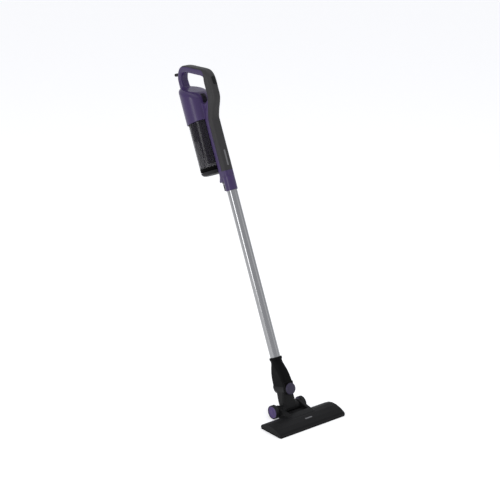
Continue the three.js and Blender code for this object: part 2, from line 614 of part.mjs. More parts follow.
function add(parent, name, solid, material) {
  const mesh = new THREE.Mesh(geometryOf(largest(solid)), material);
  mesh.name = name;
  parent.add(mesh);
}

const half = (side) => (side > 0 ? box(GAP / 2, 80, -90, 150, 0, 500) : box(-80, -GAP / 2, -90, 150, 0, 500));
const skin = bodySkin();
const socketSpace = turned(rodProfile(SOCKET_R + GAP, 0, 46 + GAP));
const spineCover = coverPiece("spine");
const gripCover = coverPiece("grip");
for (const [name, side] of [["body_shell_left", -1], ["body_shell_right", 1]]) {
  const shell = skin.intersect(half(side)).subtract(socketSpace).subtract(spineCover).subtract(gripCover);
  add(hand, name, shell, purple);
}
add(hand, "spine_cover", spineCover, darkPlastic);
add(hand, "grip_cover", gripCover, darkPlastic);
add(hand, "spine_badge", box(-3, 3, -15.2, -14, 78.5, 129.5), grey);
add(hand, "power_button", prismAlongY(roundedRect(12, 26, 6), -55, -49.5, 1.2, 0, BUTTON_Z), black);
add(hand, "vent_grille", housingBulk(0).subtract(housingBulk(WALL))
  .intersect(box(-GRILLE_HALF, GRILLE_HALF, 0, 30, GRILLE_BOTTOM, GRILLE_TOP)), black);
add(hand, "charge_inlet", inletTurned([[0, -6], [INLET_R, -6], [INLET_R, 20], [5, 24], [5, 33], [4.2, 34],
  [2.6, 34], [2.6, 22], [0, 22]]), black);
add(hand, "wand_socket", turned([[TUBE_R + GAP, 0], [SOCKET_R - 1, 0], [SOCKET_R, 2], [SOCKET_R, 46],
  [12, 46], [12, 34], [TUBE_R + GAP, SOCKET_DEPTH], [TUBE_R + GAP, 0]])
  .subtract(box(-9.3, 9.3, 10, 30, 2.7, 25.8)), purple);
add(hand, "wand_release_button", box(-9, 9, 19.7, 26.5, 3, 25.5), black);
add(hand, "bin_release_button", box(-11, 11, 20.4, 25.2, 26.5, 38.5), black);
add(hand, "bin_button_spring", moved(coil(1.6, 0.4, 4.8, 3).rotateX(Math.PI / 2), 0, 22.3, 41.5), steel);
add(hand, "air_duct", ductPiece(), black);
add(hand, "battery_pack", batteryPack(), grey);
add(hand, "control_board", box(-10, 10, -5.2, -3.6, 236, 270), board);
add(hand, "motor", turned([[0, 276.5], [20, 276.5], [22, 279], [22, 318], [18, 322], [0, 322]], 0, BIN_Y, 24)
  .subtract(turned(rodProfile(3.3, 270, 300), 0, BIN_Y, 12)), copper);
add(hand, "motor_shaft", turned(rodProfile(2.9, 258, 298), 0, BIN_Y, 12), steel);
add(hand, "impeller", impeller(), grey);
add(hand, "motor_ring", turned(ringProfile(22.4, 25, 300, 308), 0, BIN_Y, 24), rubber);
add(hand, "fan_shroud", turned([[36, 259], [44.8, 259], [44.8, 275.6], [23, 275.6], [23, 274], [36, 274],
  [36, 259]], 0, BIN_Y, 24), black);
add(hand, "pleated_filter", turned(rodProfile(40, 245, 256), 0, BIN_Y, 24), felt);
add(hand, "filter_frame", turned([[40.4, 243], [45, 243], [45, 257], [40.4, 257], [40.4, 243]], 0, BIN_Y, 24),
  black);
for (const [i, [x, y, z]] of BODY_SCREWS.entries())
  add(hand, `body_screw_${i + 1}`, turnedAlongX(rodProfile(3.2, x - 1.1, x - 0.1), y, z, 10), steel);
add(hand, "dust_bin", turned(ringProfile(BIN_R - 2, BIN_R, BIN_BOTTOM + 11, BIN_TOP), 0, BIN_Y, 24)
  .subtract(port(PORT_HALF)), smoke);
add(hand, "bin_foot", binFoot(), black);
add(hand, "cyclone_shroud", turned([[37, 242], [39, 242], [36, 186], [37, 180], [35, 180], [34.4, 186],
  [37, 242]], 0, BIN_Y, 24), darkPlastic);
add(hand, "cyclone_cone", turned([[32, 242], [34, 242], [24, 182], [23, 140], [16, 102], [14.4, 102],
  [21.4, 140], [22.4, 182], [32, 242]], 0, BIN_Y, 24), purple);
add(hand, "bin_lid", binLid(), grey);
add(hand, "lid_hinge_pin", turnedAlongX(rodProfile(HINGE_R, -9.5, 9.5), HINGE_Y, HINGE_Z, 12), steel);

add(handle, "wand_tube", turned(ringProfile(TUBE_R - TUBE_WALL, TUBE_R, COLLAR_BORE_Z + GAP,
  BODY_Z + SOCKET_DEPTH - GAP), 0, 0, 28), aluminium);
add(handle, "neck_collar", collarPiece(), black);
add(handle, "roll_pin", onRollAxis(turnedAlongY(rodProfile(AXLE_R, -EAR_OUTER, EAR_OUTER), 0, 0)), steel);
add(handle, "roll_cap_front", onRollAxis(turnedAlongY([[0, -EAR_OUTER - GAP], [18.5, -EAR_OUTER - GAP],
  [18.5, -EAR_OUTER - 3], [16, -EAR_OUTER - 5], [0, -EAR_OUTER - 5.6]], 0, 0)), purple);
add(handle, "roll_cap_rear", onRollAxis(turnedAlongY([[0, EAR_OUTER + GAP], [12, EAR_OUTER + GAP],
  [12, EAR_OUTER + 2], [10, EAR_OUTER + 3.4], [0, EAR_OUTER + 3.6]], 0, 0)), black);
add(handle, "neck_link", neckLink(), black);
const tiltPin = rodProfile(AXLE_R, -TILT_PIN_HALF, TILT_PIN_HALF);
add(vacuum, "tilt_pin", turnedAlongX(tiltPin, TILT_Y, TILT_Z, 20), steel);
add(vacuum, "nozzle_shell", nozzleShell(), black);
add(vacuum, "sole_plate", solePlate(), black);
for (const [i, [name, material]] of [["bristle_strip", black], ["lint_strip_front", rubber],
  ["lint_strip_rear", rubber]].entries()) {
  const y = [-47, -9, 21][i];
  add(vacuum, name, box(-100, 100, y - 3, y + 3, 0.4, 6), material);
}
for (const [i, [x, y]] of [[-112, -46], [112, -46], [-112, 32], [112, 32]].entries())
  add(vacuum, `sole_screw_${i + 1}`, turned(rodProfile(3.2, 0.3, 1.2), x, y, 12), steel);
add(vacuum, "nozzle_badge", nozzleBadge(0), grey);
for (const [side, tag] of [[-1, "left"], [1, "right"]]) {
  add(vacuum, `wheel_${tag}`, onWheel(side, HUB_PROFILE), purple);
  add(vacuum, `tyre_${tag}`, onWheel(side, TYRE_PROFILE), rubber);
  add(vacuum, `wheel_axle_${tag}`, onWheel(side, STUB_PROFILE, 20), steel);
}

export default vacuum;
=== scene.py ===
import math

import bmesh
import bpy
import numpy as np
from mathutils import Matrix, Vector


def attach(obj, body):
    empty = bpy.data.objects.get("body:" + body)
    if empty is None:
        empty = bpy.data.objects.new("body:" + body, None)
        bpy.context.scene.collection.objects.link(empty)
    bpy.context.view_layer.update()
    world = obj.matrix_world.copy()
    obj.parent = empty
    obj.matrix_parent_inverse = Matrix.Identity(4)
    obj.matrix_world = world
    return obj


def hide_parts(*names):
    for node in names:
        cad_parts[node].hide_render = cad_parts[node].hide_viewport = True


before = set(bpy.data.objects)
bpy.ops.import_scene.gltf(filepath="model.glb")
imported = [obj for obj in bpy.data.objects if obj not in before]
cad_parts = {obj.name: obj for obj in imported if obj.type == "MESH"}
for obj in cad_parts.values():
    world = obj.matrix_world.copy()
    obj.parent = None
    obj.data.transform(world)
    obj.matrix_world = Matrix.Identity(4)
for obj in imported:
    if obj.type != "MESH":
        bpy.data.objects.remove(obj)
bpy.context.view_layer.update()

# ---------- camera ----------
CAMERA_AZIMUTH = -38.8  # degrees, 0 looks along +Y
CAMERA_ELEVATION = 19.0
CAMERA_DISTANCE = 4.5
CAMERA_TARGET = Vector((-0.087, 0.15, 0.543))
CAMERA_LENS = 106.7


def add_camera():
    azimuth, elevation = math.radians(CAMERA_AZIMUTH), math.radians(CAMERA_ELEVATION)
    away = Vector((math.sin(azimuth) * math.cos(elevation), -math.cos(azimuth) * math.cos(elevation),
                   math.sin(elevation)))
    data = bpy.data.cameras.new("camera")
    data.lens = CAMERA_LENS
    data.sensor_width = 36
    data.clip_end = 50
    camera = bpy.data.objects.new("camera", data)
    camera.location = CAMERA_TARGET + away * CAMERA_DISTANCE
    camera.rotation_euler = (-away).to_track_quat("-Z", "Y").to_euler()
    bpy.context.scene.collection.objects.link(camera)
    bpy.context.scene.camera = camera


add_camera()

# ---------- the frame's driving sizes, in millimetres ----------
GAP = 0.3
WALL = 2.4
LEAN = math.radians(23.7)
TILT_Y, TILT_Z = 64.5, 22.5
BODY_Z = 707
ROLL_Z = 65.5
ROLL_TIP = math.radians(9.5)
TUBE_R = 16.3
SOCKET_R = 19.3
SOCKET_DEPTH = 32
BIN_Y = 65
BIN_R = 43.8
BIN_BOTTOM, BIN_TOP = 79, 241
LID_BOTTOM = 63.5
HOUSING_R = 48
HOUSING_BOTTOM, HOUSING_TOP = 236, 344
HOUSING_SLOPE = 0.5
HOUSING_ROUND = 18
HOUSING_SKIRT_SLOPE = -0.07
SPINE_BOTTOM, COVER_BOTTOM = 31, 64
LID_SWING_R = 91.9
COVER_END = 0.7083
GRILLE = (9, 289, 320)
BUTTON_Z = 344
HINGE_Y, HINGE_Z = BIN_Y + BIN_R + 3.7, 77.8
KNUCKLE_R, HINGE_BORE_R = 3.2, 1.8
NOZZLE_HALF, NOZZLE_FRONT, NOZZLE_REAR = 132, -55, 42
ARM_INNER, ARM_OUTER = 36, 48.2
WHEEL_R, HUB_R, WHEEL_X, WHEEL_Y = 22, 19, 55.2, 71
TILT_R, LINK_R = 16, 20
EAR_INNER, EAR_OUTER = 26, 35

ROW = Matrix.Scale(0.001, 4)
HANDLE = ROW @ Matrix.Translation((0, TILT_Y, TILT_Z)) @ Matrix.Rotation(-LEAN, 4, "X")
HAND = HANDLE @ Matrix.Translation((0, 0, BODY_Z))
ROLL = Matrix.Translation((0, 0, ROLL_Z)) @ Matrix.Rotation(ROLL_TIP, 4, "X")
ALONG_X = Matrix.Rotation(math.radians(90), 4, "Y")  # a turned solid's Z laid along X
ALONG_Y = Matrix.Rotation(math.radians(-90), 4, "X")  # and along Y
FRONT = Matrix.Rotation(math.radians(90), 4, "X")  # a plate's +Z turned to the front, -Y
HINGE_LINE = Matrix.Translation((0, HINGE_Y, HINGE_Z)) @ ALONG_X
INLET = Matrix.Translation((0, 106, 402)) @ Matrix.Rotation(math.radians(10), 4, "X") @ ALONG_Y
BADGE = Matrix.Translation((3, -28, 22.2)) @ Matrix.Rotation(math.atan2(5, 20), 4, "X")


# ---------- solids, in millimetres ----------
def linked(mesh, name="work"):
    obj = bpy.data.objects.new(name, mesh)
    bpy.context.scene.collection.objects.link(obj)
    return obj


def solid(bm, matrix=Matrix.Identity(4)):
    bmesh.ops.remove_doubles(bm, verts=bm.verts, dist=1e-4)
    bmesh.ops.dissolve_degenerate(bm, edges=bm.edges, dist=1e-5)
    bmesh.ops.recalc_face_normals(bm, faces=bm.faces)
    bm.transform(matrix)
    mesh = bpy.data.meshes.new("work")
    bm.to_mesh(mesh)
    bm.free()
    return linked(mesh)


def loft(rings, matrix=Matrix.Identity(4), ends=True, around=False):
    """A skin over rings of equal length, closed by a flat cap at each end, or joined last to first."""
    bm = bmesh.new()
    rows = [[bm.verts.new(p) for p in ring] for ring in rings]
    pairs = list(zip(rows, rows[1:]))
    if around:
        pairs.append((rows[-1], rows[0]))
    for low, high in pairs:
        for j in range(len(low)):
            k = (j + 1) % len(low)
            bm.faces.new((low[j], low[k], high[k], high[j]))
    if ends and not around:
        bm.faces.new(rows[0][::-1])
        bm.faces.new(rows[-1])
    return solid(bm, matrix)


def lathe(profile, x=0, y=0, segments=96, matrix=Matrix.Identity(4)):
    """A turned solid about Z through (x, y) from a closed profile of (radius, z)."""
    rings = []
    for i in range(segments):
        a = 2 * math.pi * i / segments
        rings.append([(x + r * math.cos(a), y + r * math.sin(a), z) for r, z in profile])
    return loft(rings, matrix, around=True)


def filleted(points, steps=5):
    """A closed outline of (a, b, radius) with its corners rounded."""
    out = []
    for i, (a, b, radius) in enumerate(points):
        here = Vector((a, b))
        if not radius:
            out.append((a, b))
            continue
        before = Vector(points[i - 1][:2]) - here
        after = Vector(points[(i + 1) % len(points)][:2]) - here
        half = before.angle(after) / 2
        reach = min(radius / math.tan(half), 0.49 * before.length, 0.49 * after.length)
        start, end = here + before.normalized() * reach, here + after.normalized() * reach
        for k in range(steps + 1):
            u = k / steps
            p = start * (1 - u) ** 2 + here * (2 * u * (1 - u)) + end * u ** 2
            out.append((p.x, p.y))
    return out


def rod(r, z0, z1, edge=0.4):
    return filleted([(0, z0, 0), (r, z0, edge), (r, z1, edge), (0, z1, 0)])


def tube_wall(inner, outer, z0, z1, edge=0.5):
    return filleted([(inner, z0, edge), (outer, z0, edge), (outer, z1, edge), (inner, z1, edge)], 4)


def prism(outline, x0, x1, matrix=Matrix.Identity(4)):
    """An outline of (y, z) pushed along X."""
    return loft([[(x, y, z) for y, z in outline] for x in (x0, x1)], matrix)


def block(x0, x1, y0, y1, z0, z1, edge=0.0, matrix=Matrix.Identity(4)):
    """A box between two corners, its edges softly rounded."""
    obj = prism([(y0, z0), (y1, z0), (y1, z1), (y0, z1)], x0, x1, matrix)
    if edge:
        soften(obj, edge)
        applied(obj)
    return obj


def rounded_plate(width, depth, radius, z0, z1, edge, matrix=Matrix.Identity(4)):
    """A plate with round corners and a soft upper edge, flat below."""
    rings = []
    for inset, z in [(0, z0), (0, z1 - edge), (edge * 0.3, z1 - edge * 0.3), (edge, z1)]:
        w, d = width / 2 - inset, depth / 2 - inset
        corner = [(w, d, radius), (-w, d, radius), (-w, -d, radius), (w, -d, radius)]
        rings.append([(a, b, z) for a, b in filleted(corner, 10)])
    return loft(rings, matrix)


def applied(obj):
    """The object with its modifiers made part of its mesh."""
    graph = bpy.context.evaluated_depsgraph_get()
    mesh = bpy.data.meshes.new_from_object(obj.evaluated_get(graph))
    obj.modifiers.clear()
    obj.data = mesh
    return obj


def combine(target, tool, operation):
    modifier = target.modifiers.new("combine", "BOOLEAN")
    modifier.operation = operation
    modifier.solver = "MANIFOLD"
    modifier.object = tool
    applied(target)
    bpy.data.objects.remove(tool)
    return target


def cut(target, *tools):
    for tool in tools:
        combine(target, tool, "DIFFERENCE")
    return target


def joined(*objs):
    """Several closed solids in one object, overlapping or not."""
    bm = bmesh.new()
    for obj in objs:
        bm.from_mesh(obj.data)
        bpy.data.objects.remove(obj)
    mesh = bpy.data.meshes.new("work")
    bm.to_mesh(mesh)
    bm.free()
    return linked(mesh)


def blended(objs, voxel, passes):
    """One moulded skin round several overlapping solids, its inner corners filled."""
    obj = joined(*objs)
    remesh = obj.modifiers.new("remesh", "REMESH")
    remesh.mode = "VOXEL"
    remesh.voxel_size = voxel
    smooth = obj.modifiers.new("smooth", "SMOOTH")
    smooth.factor = 0.5
    smooth.iterations = passes
    return applied(obj)


def soften(obj, width, segments=3, angle=40):
    bevel = obj.modifiers.new("soften", "BEVEL")
    bevel.width = width
    bevel.segments = segments
    bevel.limit_method = "ANGLE"
    bevel.angle_limit = math.radians(angle)
    bevel.use_clamp_overlap = True


def resampled(points, count, closed=False):
    """Points spread evenly along a polyline."""
    line = np.array(points, float)
    if closed:
        line = np.vstack([line, line[:1]])
    steps = np.concatenate([[0], np.cumsum(np.linalg.norm(np.diff(line, axis=0), axis=1))])
    at = np.linspace(0, steps[-1], count, endpoint=not closed)
    return np.stack([np.interp(at, steps, line[:, k]) for k in range(line.shape[1])], axis=1)


def through(rows, t):
    """Values at t from 0 to 1 on a smooth curve through the rows."""
    at = t * (len(rows) - 1)
    i = min(int(at), len(rows) - 2)
    u = at - i
    a, b, c, d = (rows[max(0, min(len(rows) - 1, k))] for k in (i - 1, i, i + 1, i + 2))
    return [q + 0.5 * u * (r - p + u * (2 * p - 5 * q + 4 * r - s + u * (3 * (q - r) + s - p)))
            for p, q, r, s in zip(a, b, c, d)]


# ---------- materials ----------
class Nodes:
    """A material's node tree with the few moves that the finishes below share."""

    def __init__(self, name):
        self.material = bpy.data.materials.new(name)
        self.material.use_nodes = True
        self.tree = self.material.node_tree
        self.shader = self.tree.nodes["Principled BSDF"]

    def add(self, kind, inputs=(), **settings):
        node = self.tree.nodes.new(kind)
        for key, value in settings.items():
            setattr(node, key, value)
        for key, value in dict(inputs).items():
            node.inputs[key].default_value = value
        return node

    def link(self, source, target):
        self.tree.links.new(source, target)

    def coordinates(self, scale=(1, 1, 1), lean=0.0):
        place = self.add("ShaderNodeTexCoord")
        turn = self.add("ShaderNodeMapping", {"Scale": scale, "Rotation": (lean, 0, 0)})
        self.link(place.outputs["Object"], turn.inputs["Vector"])
        return turn.outputs["Vector"]

    def noise(self, vector, scale, detail=3.0):
        node = self.add("ShaderNodeTexNoise", {"Scale": scale, "Detail": detail})
        self.link(vector, node.inputs["Vector"])
        return node.outputs["Fac"]

    def ramp(self, value, low, high, start=0.3, end=0.7):
        node = self.add("ShaderNodeValToRGB")
        node.color_ramp.elements[0].position = start
        node.color_ramp.elements[1].position = end
        node.color_ramp.elements[0].color = (*low, 1)
        node.color_ramp.elements[1].color = (*high, 1)
        self.link(value, node.inputs["Fac"])
        return node.outputs["Color"]

    def span(self, value, low, high):
        ends = {"From Min": 0.3, "From Max": 0.7, "To Min": low, "To Max": high}
        node = self.add("ShaderNodeMapRange", ends)
        self.link(value, node.inputs["Value"])
        return node.outputs["Result"]

    def bump(self, height, strength, distance):
        node = self.add("ShaderNodeBump", {"Strength": strength, "Distance": distance})
        self.link(height, node.inputs["Height"])
        self.link(node.outputs["Normal"], self.shader.inputs["Normal"])


def shade(color, factor):
    return tuple(min(1.0, c * factor) for c in color)


def plastic(name, color, roughness, grain, vary=0.12, coat=0.0, grain_scale=1400, gloss=0.2):
    """Moulded plastic: faint mottling, a fine grain, and a roughness that wanders with handling."""
    nodes = Nodes(name)
    where = nodes.coordinates()
    mottle = nodes.noise(where, 38, 4)
    tint = nodes.ramp(mottle, shade(color, 1 - vary), shade(color, 1 + vary))
    nodes.link(tint, nodes.shader.inputs["Base Color"])
    handled = nodes.noise(where, 16, 5)
    nodes.link(nodes.span(handled, roughness * 0.86, roughness * 1.16), nodes.shader.inputs["Roughness"])
    nodes.bump(nodes.noise(where, grain_scale, 2), grain, 0.0002)
    nodes.shader.inputs["IOR"].default_value = 1.49
    nodes.shader.inputs["Specular IOR Level"].default_value = gloss
    nodes.shader.inputs["Coat Weight"].default_value = coat
    nodes.shader.inputs["Coat Roughness"].default_value = 0.12
    return nodes.material


def metal(name, color, roughness, scale, lean=0.0, strength=0.12, spread=0.25):
    """Drawn or turned metal with fine lines along one direction."""
    nodes = Nodes(name)
    where = nodes.coordinates(scale, lean)
    lines = nodes.noise(where, 1.0, 3)
    nodes.link(nodes.ramp(lines, shade(color, 0.86), shade(color, 1.08)), nodes.shader.inputs["Base Color"])
    rough = nodes.span(lines, roughness * (1 - spread), roughness * (1 + spread))
    nodes.link(rough, nodes.shader.inputs["Roughness"])
    nodes.bump(lines, strength, 0.00005)
    nodes.shader.inputs["Metallic"].default_value = 1.0
    return nodes.material


def clear_plastic(name, color, alpha, roughness):
    """Smoked clear plastic: thin, glossy, with faint dust haze inside."""
    nodes = Nodes(name)
    where = nodes.coordinates()
    haze = nodes.noise(where, 14, 2)
    nodes.link(nodes.ramp(haze, shade(color, 0.92), shade(color, 1.08)), nodes.shader.inputs["Base Color"])
    nodes.link(nodes.span(haze, alpha * 0.97, alpha * 1.03), nodes.shader.inputs["Alpha"])
    nodes.shader.inputs["Roughness"].default_value = roughness
    nodes.shader.inputs["IOR"].default_value = 1.52
    nodes.shader.inputs["Specular IOR Level"].default_value = 0.22
    return nodes.material


def fibre(name, color, scale, strength):
    """Felt or pile: short tangled strands."""
    nodes = Nodes(name)
    where = nodes.coordinates()
    strands = nodes.noise(where, scale, 6)
    nodes.link(nodes.ramp(strands, shade(color, 0.6), shade(color, 1.2)), nodes.shader.inputs["Base Color"])
    nodes.bump(strands, strength, 0.0006)
    nodes.shader.inputs["Roughness"].default_value = 0.95
    nodes.shader.inputs["Sheen Weight"].default_value = 0.3
    return nodes.material


PURPLE = plastic("purple_plastic", (0.038, 0.0205, 0.084), 0.34, 0.05, 0.06, 0.12, gloss=0.3)
WHEEL_PURPLE = plastic("wheel_purple_plastic", (0.055, 0.03, 0.125), 0.38, 0.05, 0.06, 0.05, gloss=0.25)
CAP_PURPLE = plastic("cap_purple_plastic", (0.036, 0.03, 0.056), 0.44, 0.06, 0.06, 0.03)
DARK = plastic("dark_grained_plastic", (0.032, 0.031, 0.032), 0.48, 0.22, 0.08)
SHROUD = plastic("shroud_plastic", (0.007, 0.0055, 0.01), 0.55, 0.1, gloss=0.1)
BLACK = plastic("black_plastic", (0.0085, 0.0085, 0.009), 0.46, 0.12, 0.1, gloss=0.14)
NOZZLE = plastic("nozzle_plastic", (0.0065, 0.0065, 0.007), 0.5, 0.16, 0.1, gloss=0.12)
FORK = plastic("fork_plastic", (0.003, 0.003, 0.0033), 0.5, 0.12, 0.1, gloss=0.06)
SEAL = plastic("bin_seal_rubber", (0.002, 0.002, 0.0022), 0.6, 0.1, 0.1, gloss=0.04)
SOLE = plastic("sole_plastic", (0.0015, 0.0015, 0.0018), 0.6, 0.12, 0.1, gloss=0.04)
GREY = plastic("grey_plastic", (0.035, 0.036, 0.038), 0.42, 0.1)
LID = plastic("lid_plastic", (0.016, 0.016, 0.018), 0.5, 0.1, gloss=0.12)
LABEL = plastic("label_plate", (0.13, 0.13, 0.135), 0.35, 0.05, 0.05, 0.1)
# dark vent plastic whose purple tint is painted shade: the shaded purple of the throat between housing and
# grip
SHADED_VENT = plastic("vent_painted_shade_plastic", (0.018, 0.014, 0.026), 0.46, 0.12, 0.1, gloss=0.16)
RUBBER = plastic("rubber", (0.016, 0.016, 0.017), 0.75, 0.3, 0.12, 0.0, 900)
BOARD = plastic("board_lacquer", (0.01, 0.1, 0.04), 0.3, 0.1, 0.2)
FELT = fibre("filter_felt", (0.6, 0.58, 0.52), 700, 0.5)
BRISTLE = fibre("bristle_pile", (0.02, 0.02, 0.022), 1500, 0.8)
WAND = metal("wand_aluminium", (0.33, 0.332, 0.338), 0.18, (900, 900, 6), LEAN, 0.05, 0.15)
STEEL = metal("turned_steel", (0.5, 0.51, 0.52), 0.28, (700, 700, 700))
BRIGHT = metal("bright_steel", (0.8, 0.8, 0.8), 0.2, (700, 700, 700))
COPPER = metal("motor_metal", (0.5, 0.34, 0.22), 0.34, (500, 500, 30))
SMOKE = clear_plastic("smoked_clear_plastic", (0.014, 0.012, 0.018), 0.58, 0.16)


# ---------- finished pieces ----------
def done(obj, name, matrix, body, material, nodes=(), bevel=0.0, sharp=38):
    """A finished piece: into metres and the row frame, smooth where it curves, riding on its body."""
    obj.data.transform(matrix)
    obj.name = name
    obj.data.name = name
    obj.data.materials.clear()
    obj.data.materials.append(material)
    for polygon in obj.data.polygons:
        polygon.use_smooth = True
    if bevel:
        soften(obj, bevel)
        applied(obj)
        for polygon in obj.data.polygons:
            polygon.use_smooth = True
    obj.data.set_sharp_from_angle(angle=math.radians(sharp))
    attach(obj, body)
    if nodes:
        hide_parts(*nodes)
    return obj


def screw_head(name, matrix, body, nodes, radius=3.1, height=1.0, material=None):
    """A low round head with a cross recess, its top towards local +Z."""
    head = lathe(filleted([(0, 0, 0), (radius, 0, 0.1), (radius, height * 0.5, 0.5),
                           (radius * 0.6, height, 0.8), (0, height, 0)]), segments=40)
    for a in (45, 135):
        turn = Matrix.Rotation(math.radians(a), 4, "Z")
        cut(head, block(-radius * 0.6, radius * 0.6, -radius * 0.13, radius * 0.13, height * 0.3, height * 2,
                        matrix=turn))
    done(head, name, matrix, body, material or STEEL, nodes, sharp=30)


# ---------- spine, grip and loop ----------
# centre y and z, half width, half depth, corner radius, height of the parting line over the centre line
LOOP = [
    (6, 31, 18, 21, 10, 2), (6, 130, 18, 21, 10, 2), (6, 215, 18, 21, 10, 2), (4, 238, 18, 20.5, 10.5, 3),
    (-10, 262, 17, 19.5, 11, -2.5), (-27, 284, 15.6, 19, 11.5, -12), (-34.5, 298, 15, 18.9, 12, -15.5),
    (-35.4, 320, 15, 18.9, 12, -15.5), (-35.2, 348, 15, 18.7, 11.5, -15.3), (-31, 366, 15.5, 15.5, 10.5, -8),
    (-18, 378, 16, 12, 8.5, 6.5), (18, 393.2, 16, 11.5, 8, 7.5), (58, 409, 16, 11.5, 8, 8),
    (82, 413, 16, 11, 8, 8.4), (95.5, 405, 16, 10.4, 7.8, 8.4), (104, 390, 16, 10, 7.5, 8.2),
    (105.5, 378, 16, 10, 7.5, 8), (105, 362, 16.5, 10.2, 7.5, 8), (103, 342, 17, 10.5, 7.5, 8),
]
LOOP_RINGS = 240
ARC_POINTS = 44


def section_arc(w, h, r, start):
    """Points over a rounded section, from its right flank over the top to its left flank, above a height."""
    line = []
    first = 0.0
    if start < h - r:
        line.append((w, start))
    else:
        first = math.asin(min(1.0, (start - h + r) / r))
    for i in range(13):
        a = first + (math.pi / 2 - first) * i / 12
        line.append((w - r + r * math.cos(a), h - r + r * math.sin(a)))
    line += [(-x, y) for x, y in reversed(line)]
    return [tuple(p) for p in resampled(line, ARC_POINTS)]


def loop_section(kind, w, h, r, split):
    if kind in ("bulk", "hollow"):
        inset = 0 if kind == "bulk" else WALL
        top = section_arc(w - inset, h - inset, r - inset, 0)
        return top + [(-x, -y) for x, y in top[1:-1]]
    if kind == "space":
        return section_arc(w + GAP, h + GAP, r, split - GAP)
    edge = 0.5  # the cover's own rounded rim
    outer = section_arc(w, h, r, split + edge)
    inner = section_arc(w - WALL, h - WALL, r - WALL, split + edge)[::-1]
    x = w - WALL / 2
    return outer + [(-x - WALL * 0.3, split), (-x + WALL * 0.3, split)] + inner + [
        (x - WALL * 0.3, split), (x + WALL * 0.3, split)]


def loop_piece(kind, first, last):
    rings = []
    count = max(8, int(LOOP_RINGS * (last - first)))
    for i in range(count + 1):
        t = first + (last - first) * i / count
        y, z, w, h, r, split = through(LOOP, t)
        y0, z0 = through(LOOP, max(0, t - 0.005))[:2]
        y1, z1 = through(LOOP, min(1, t + 0.005))[:2]
        along = Vector((y1 - y0, z1 - z0)).normalized()
        rings.append([(p, y - q * along.y, z + q * along.x) for p, q in loop_section(kind, w, h, r, split)])
    return loft(rings)


# ---------- motor housing ----------
def housing_ring(radius, z, slope, count=144):
    ring = []
    for i in range(count):
        a = 2 * math.pi * i / count
        y = radius * math.sin(a)
        ring.append((radius * math.cos(a), BIN_Y + y, z + slope * y))
    return ring


def housing_bulk(inset):
    """The housing with its sloping rounded top, or with an inset its hollow."""
    radius, round_r = HOUSING_R - inset, HOUSING_ROUND - inset
    bottom = HOUSING_BOTTOM - (10 if inset else 0)
    rings = [housing_ring(radius, bottom, 0 if inset else HOUSING_SKIRT_SLOPE),
             housing_ring(radius, 290, HOUSING_SLOPE / 2)]
    for i in range(13):
        a = i / 12 * math.pi / 2
        drop = inset + round_r * (1 - math.sin(a))
        rings.append(housing_ring(radius - round_r * (1 - math.cos(a)), HOUSING_TOP - drop, HOUSING_SLOPE))
    return loft(rings)


def web():
    outline = filleted([(45, 238, 0), (0, 238, 0), (-14, 262, 0), (-20, 290, 0), (-14, 292, 2), (-8, 287, 8),
                        (2, 284, 8), (12, 285, 8), (22, 292, 4), (45, 292, 0)])
    bridge = prism(outline, -15.5, 15.5)
    soften(bridge, 4, 4, 60)
    return applied(bridge)


def heel():
    outline = filleted([(10, SPINE_BOTTOM, 0), (30, SPINE_BOTTOM, 1.5), (31.6, 34, 2), (28.2, 41, 6),
                        (25.2, 48, 6), (22.9, 55, 3), (21, 57, 1), (10, 57, 0)])
    foot = prism(outline, -16.5, 16.5)
    soften(foot, 1.5, 4, 60)
    return applied(foot)


def lid_swing(margin):
    """The room that the lid's front edge sweeps below the bin as it swings open."""
    sweep = lathe(rod(LID_SWING_R + margin, -40, 40, 0), segments=360, matrix=HINGE_LINE)
    return combine(sweep, block(-40, 40, 12, 60, 0, BIN_BOTTOM - 2), "INTERSECT")


def saddle():
    """The spine's concave back that takes the bin."""
    outer = lathe(rod(BIN_R + 0.7 + WALL, LID_BOTTOM - 4, HOUSING_BOTTOM + 4, 0.5), 0, BIN_Y, 128)
    combine(outer, loop_piece("bulk", 0, 0.25), "INTERSECT")
    return combine(outer, block(-30, 30, 4.4, 40, 0, 246), "INTERSECT")


BODY_SCREWS = [(18, 14, 84), (18, 14, 222), (16, 38, 396), (16, 102, 374)]


